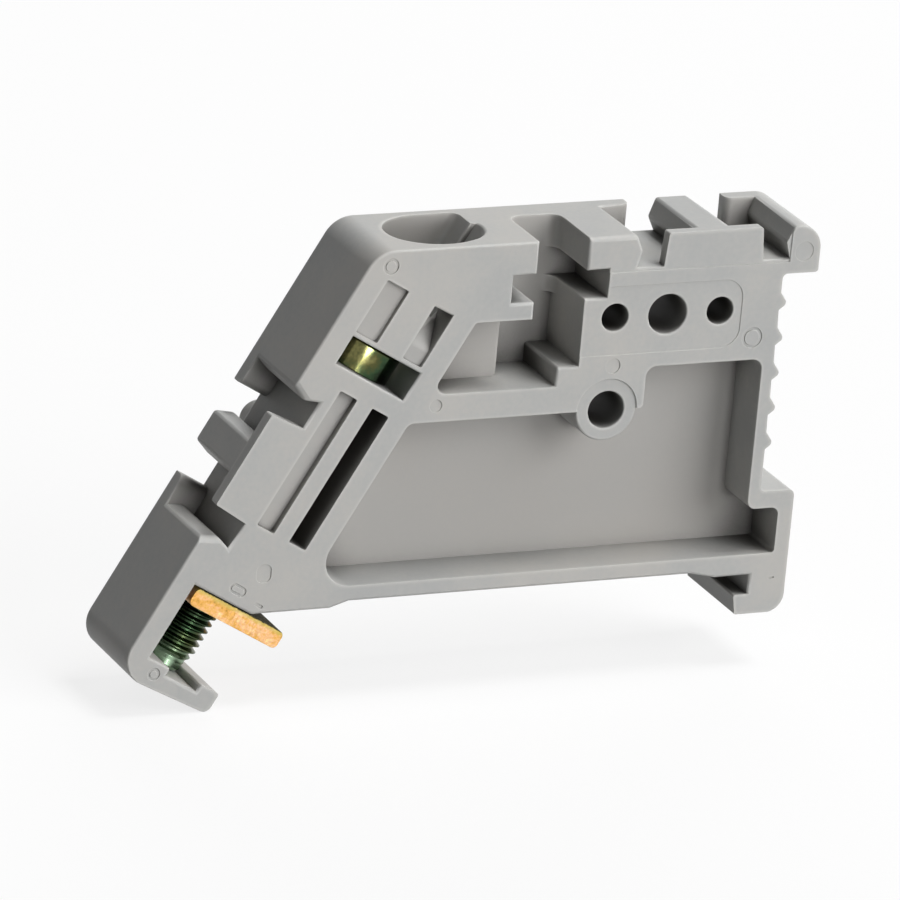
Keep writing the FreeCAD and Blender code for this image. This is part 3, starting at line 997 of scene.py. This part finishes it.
@dataclass
class ClampScrew:
    """The clamp screw: slotted head, helical thread, taper and plain point, built round Z."""

    arm: Arm
    thread_radius: float = 1.5
    root_radius: float = 1.19
    pitch: float = 0.5
    crest_share: float = 0.125
    root_share: float = 0.25
    point_radius: float = 1.17
    taper: float = 0.85
    point_length: float = 0.6
    point_chamfer: float = 0.2
    head_height: float = 2.0
    head_round: float = 0.25
    slot_width: float = 0.8
    slot_depth: float = 1.1
    head_edge: float = 0.05
    head_arc_steps: int = 5
    run_in: float = 1.5
    spare_turns: int = 2
    steps: int = 48
    neck: float = 0.3
    hard_angle: float = 35.0

    def ends(self) -> tuple[float, float, float]:
        """Reads the solid's measures.

        Returns:
            The point's and the head top's place along the axis, and the head's radius.
        """
        places = [self.arm.local(vert.co) for vert in frame["nodes"][Node.SCREW.value].data.vertices]
        alongs = [u for u, _, _ in places]
        radius = max(math.hypot(v, y) for _, v, y in places)
        return min(alongs), max(alongs), radius

    def limit(self, u: float, tip: float, head_from: float) -> float:
        """Gives the largest radius that the turned shank has at a place along the axis.

        Args:
            u: the place.
            tip: where the point ends.
            head_from: where the head starts.

        Returns:
            The radius.
        """
        above_tip = u - tip
        if above_tip < self.point_chamfer:
            return self.point_radius - self.point_chamfer + above_tip
        above_point = above_tip - self.point_length
        if above_point < self.taper:
            rise = (self.thread_radius - self.point_radius) * max(above_point, 0.0) / self.taper
            return self.point_radius + rise
        if u > head_from - self.neck:
            return self.root_radius
        return self.thread_radius

    def threaded_rod(self, tip: float, head_from: float) -> bmesh.types.BMesh:
        """Winds the thread from the point to the head and turns it down to its limits.

        Args:
            tip: where the point ends.
            head_from: where the head starts.

        Returns:
            The rod, open at both ends.
        """
        rise = self.pitch * (1 - self.crest_share - self.root_share) / 2
        turns = math.ceil((head_from - tip) / self.pitch) + self.spare_turns
        corners = []
        for i in range(turns):
            low = tip - self.pitch * self.run_in + i * self.pitch
            crest = low + rise
            corners += [
                (self.root_radius, low),
                (self.thread_radius, crest),
                (self.thread_radius, crest + self.crest_share * self.pitch),
                (self.root_radius, crest + self.crest_share * self.pitch + rise),
            ]
        mesh = turned(corners, self.steps, self.pitch * MM / self.steps)
        point_end = tip + self.point_length
        cuts = [tip, tip + self.point_chamfer, point_end, point_end + self.taper]
        cuts += [head_from - self.neck, head_from]
        for u in cuts:
            geometry = mesh.verts[:] + mesh.edges[:] + mesh.faces[:]
            bmesh.ops.bisect_plane(
                mesh,
                geom=geometry,
                plane_co=(0.0, 0.0, u * MM),
                plane_no=(0.0, 0.0, 1.0),
                clear_inner=u == tip,
                clear_outer=u == head_from,
            )
        for vert in mesh.verts:
            radius = math.hypot(vert.co.x, vert.co.y) / MM
            share = min(1.0, self.limit(vert.co.z / MM, tip, head_from) / radius)
            vert.co.x *= share
            vert.co.y *= share
        return mesh

    def head(self, head_from: float, head_top: float, radius: float) -> bmesh.types.BMesh:
        """Turns the head and mills its slot.

        Args:
            head_from: where the head starts.
            head_top: where it ends.
            radius: its radius.

        Returns:
            The head, closed.
        """
        corner = self.head_round
        outline = [(0.0, head_from), (radius - self.head_edge, head_from)]
        outline.append((radius, head_from + self.head_edge))
        for i in range(self.head_arc_steps + 1):
            turn = math.pi / 2 * i / self.head_arc_steps
            out = radius - corner + corner * math.cos(turn)
            outline.append((out, head_top - corner + corner * math.sin(turn)))
        outline.append((0.0, head_top))
        mesh = turned(outline, self.steps * 2)
        bmesh.ops.recalc_face_normals(mesh, faces=mesh.faces)
        self.mill_slot(mesh, head_top)
        return mesh

    def mill_slot(self, mesh: bmesh.types.BMesh, head_top: float) -> None:
        """Cuts the slot, which runs across the arm's own plane, out of a turned head.

        Args:
            mesh: the head.
            head_top: where it ends along the axis.
        """
        half = self.slot_width / 2 * MM
        floor = (head_top - self.slot_depth) * MM
        side, up = (0.0, 1.0, 0.0), (0.0, 0.0, 1.0)
        planes = (((0.0, half, 0.0), side), ((0.0, -half, 0.0), side), ((0.0, 0.0, floor), up))
        for place, normal in planes:
            geometry = mesh.verts[:] + mesh.edges[:] + mesh.faces[:]
            bmesh.ops.bisect_plane(mesh, geom=geometry, plane_co=place, plane_no=normal)
        inside = [f for f in mesh.faces if self.in_slot(f.calc_center_median(), half, floor)]
        bmesh.ops.delete(mesh, geom=inside, context="FACES")
        rim = [edge for edge in mesh.edges if edge.is_boundary]
        corners = dict.fromkeys(vert for edge in rim for vert in edge.verts)
        low = [vert for vert in corners if abs(vert.co.z - floor) < TINY]
        foot = [vert for vert in low if abs(abs(vert.co.y) - half) < TINY]
        for wall in (half, -half):
            pair = [vert for vert in foot if abs(vert.co.y - wall) < TINY]
            rim.append(mesh.edges.new(pair))
        bmesh.ops.edgenet_fill(mesh, edges=rim)
        bmesh.ops.recalc_face_normals(mesh, faces=mesh.faces)

    @staticmethod
    def in_slot(centre: Vector, half: float, floor: float) -> bool:
        """Tells whether a face's middle lies in the slot."""
        return abs(centre.y) < half and centre.z > floor

    def build(self, material: bpy.types.Material) -> bpy.types.Object:
        """Makes the screw and lets it stand for the solid.

        Args:
            material: its finish.

        Returns:
            The screw's object.
        """
        tip, head_top, radius = self.ends()
        head_from = head_top - self.head_height
        rod = self.threaded_rod(tip, head_from)
        loops = [edge for edge in rod.edges if edge.is_boundary]
        bmesh.ops.holes_fill(rod, edges=loops)
        head = self.head(head_from, head_top, radius)
        scratch = bpy.data.meshes.new("head")
        head.to_mesh(scratch)
        head.free()
        rod.from_mesh(scratch)
        bpy.data.meshes.remove(scratch)
        bmesh.ops.recalc_face_normals(rod, faces=rod.faces)
        hard = math.radians(self.hard_angle)
        for edge in rod.edges:
            edge.smooth = edge.calc_face_angle(0.0) < hard
        rod.transform(self.arm.matrix())
        piece = add_piece("slotted_clamp_screw", rod, Body.SCREW, material)
        even_shading(piece)
        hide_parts(Node.SCREW.value)
        return piece


@dataclass
class ClampPlate:
    """The sheared clamp plate, with its edges broken and its cut faces a little torn."""

    arm: Arm
    edge_mm: float = 0.12
    softener: EdgeSoftener = field(default_factory=EdgeSoftener)

    def build(self, finish: YellowSteel) -> bpy.types.Object:
        """Makes the plate and lets it stand for the solid.

        Args:
            finish: its passivated surface.

        Returns:
            The plate's object.
        """
        mesh = cad_mesh(Node.PLATE)
        top_mm = max(self.arm.local(vert.co)[0] for vert in mesh.verts)
        largest = self.softener.weigh(mesh, lambda edges: dict.fromkeys(edges, self.edge_mm))
        material = finish.material(self.arm, top_mm)
        piece = add_piece("sheared_clamp_plate", mesh, Body.PLATE, material)
        self.softener.round_off(piece, largest)
        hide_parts(Node.PLATE.value)
        return piece


@dataclass(frozen=True)
class Lamp:
    """One soft square lamp, whose strength is the irradiance that it gives at the object, over pi."""

    name: str
    direction: tuple[float, float, float]
    side: float
    strength: float
    mirrored: bool = True
    matt: bool = True
    reach: float = 1.6

    def hang(self) -> None:
        """Hangs the lamp, which lights glossy surfaces if mirrored and matt ones if matt."""
        data = bpy.data.lights.new(self.name, "AREA")
        data.size = self.side
        data.energy = self.strength * math.pi * math.pi * self.reach * self.reach
        lamp = bpy.data.objects.new(self.name, data)
        towards = Vector(self.direction).normalized()
        lamp.location = towards * self.reach
        lamp.rotation_euler = towards.to_track_quat("Z", "Y").to_euler()
        lamp.visible_glossy = self.mirrored
        lamp.visible_diffuse = self.matt
        bpy.context.scene.collection.objects.link(lamp)


LAMPS = (
    Lamp("key", direction=(0.6, -0.7, 0.39), side=1.2, strength=0.83, mirrored=False),
    Lamp("top", direction=(0.35, -0.1, 0.93), side=0.6, strength=0.6),
    Lamp("rear", direction=(0.42, 0.88, 0.2), side=1.2, strength=0.85, mirrored=False),
    Lamp("front", direction=(0.08, -0.99, 0.08), side=0.3, strength=0.2, mirrored=False),
    Lamp("glint", direction=(0.04, -0.99, 0.1), side=0.42, strength=0.85, matt=False),
)


@dataclass
class Studio:
    """White floor, soft lamps and the camera of a product picture."""

    azimuth: float = -25.92
    elevation: float = 19.91
    roll: float = 5.26
    eye: tuple[float, float, float] = (-234.4026, -476.3189, 200.5926)
    focal_px: float = 8861.0
    image_px: float = 900.0
    sensor: float = 36.0
    clip: tuple[float, float] = (0.01, 20.0)
    floor_size: float = 4000.0
    floor_gap: float = 0.01
    floor_roughness: float = 0.9
    floor_tone: float = 0.9
    ambient: float = 0.05
    bounce: float = 0.3
    seen_white: float = 0.8

    def camera(self) -> None:
        """Makes the camera at the picture's own place and angle."""
        side, up = math.radians(self.azimuth), math.radians(self.elevation)
        back = Vector((math.sin(side) * math.cos(up), -math.cos(side) * math.cos(up), math.sin(up)))
        level = back.to_track_quat("Z", "Y").to_matrix()
        turn = level @ Matrix.Rotation(math.radians(self.roll), 3, "Z")
        data = bpy.data.cameras.new("camera")
        data.sensor_width = self.sensor
        data.lens = self.sensor * self.focal_px / self.image_px
        data.clip_start, data.clip_end = self.clip
        camera = bpy.data.objects.new("camera", data)
        camera.matrix_world = Matrix.Translation(Vector(self.eye) * MM) @ turn.to_4x4()
        bpy.context.scene.collection.objects.link(camera)
        bpy.context.scene.camera = camera

    def world(self) -> None:
        """Lights the object evenly, and shows white to the camera and in reflections."""
        world = bpy.data.worlds.new("studio")
        bpy.context.scene.world = world
        nodes = NodeTree(world)
        strength = nodes.ray("Camera", "Glossy", "Transmission").between(self.ambient, 1.0)
        background = nodes.node("ShaderNodeBackground", {}, {"Strength": strength})
        nodes.node("ShaderNodeOutputWorld", {}, {"Surface": background.outputs[0]})

    def floor(self) -> None:
        """Lays a floor under the part's lowest point; it shows white but keeps the part's shadow."""
        mesh = bmesh.new()
        bmesh.ops.create_grid(mesh, x_segments=1, y_segments=1, size=self.floor_size * MM / 2)
        height = cad_box[0].z - self.floor_gap * MM
        bmesh.ops.translate(mesh, verts=mesh.verts, vec=(0.0, 0.0, height))
        data = bpy.data.meshes.new("floor")
        mesh.to_mesh(data)
        mesh.free()
        floor = bpy.data.objects.new("floor", data)
        bpy.context.scene.collection.objects.link(floor)
        recipe = Recipe("white_floor")
        tone = recipe.ray("Camera").between(self.bounce, self.floor_tone)
        recipe.finish(Base_Color=tone, Roughness=self.floor_roughness, Specular_IOR_Level=0.0)
        white = recipe.node("ShaderNodeEmission", {}, {"Color": (1.0, 1.0, 1.0), "Strength": 1.0})
        seen = recipe.ray("Camera", "Glossy", "Transmission") * self.seen_white
        layers = {0: seen, 1: recipe.shader.outputs[0], 2: white.outputs[0]}
        mixed = recipe.node("ShaderNodeMixShader", {}, layers)
        recipe.feed(recipe.output.inputs["Surface"], mixed.outputs[0])
        data.materials.append(recipe.material)

    def build(self) -> None:
        """Sets up the whole studio."""
        self.camera()
        self.world()
        self.floor()
        for lamp in LAMPS:
            lamp.hang()
        bpy.context.scene.view_settings.view_transform = "Standard"


def main() -> None:
    """Builds the part and its studio."""
    logging.basicConfig(level=logging.INFO, format="%(message)s")
    Studio().build()
    arm = Arm.from_frame()
    MouldedBody(arm).build(GreyPolyamide())
    ClampScrew(arm).build(GreenSteel().material(arm))
    ClampPlate(arm).build(YellowSteel())


if __name__ == "__main__":
    main()
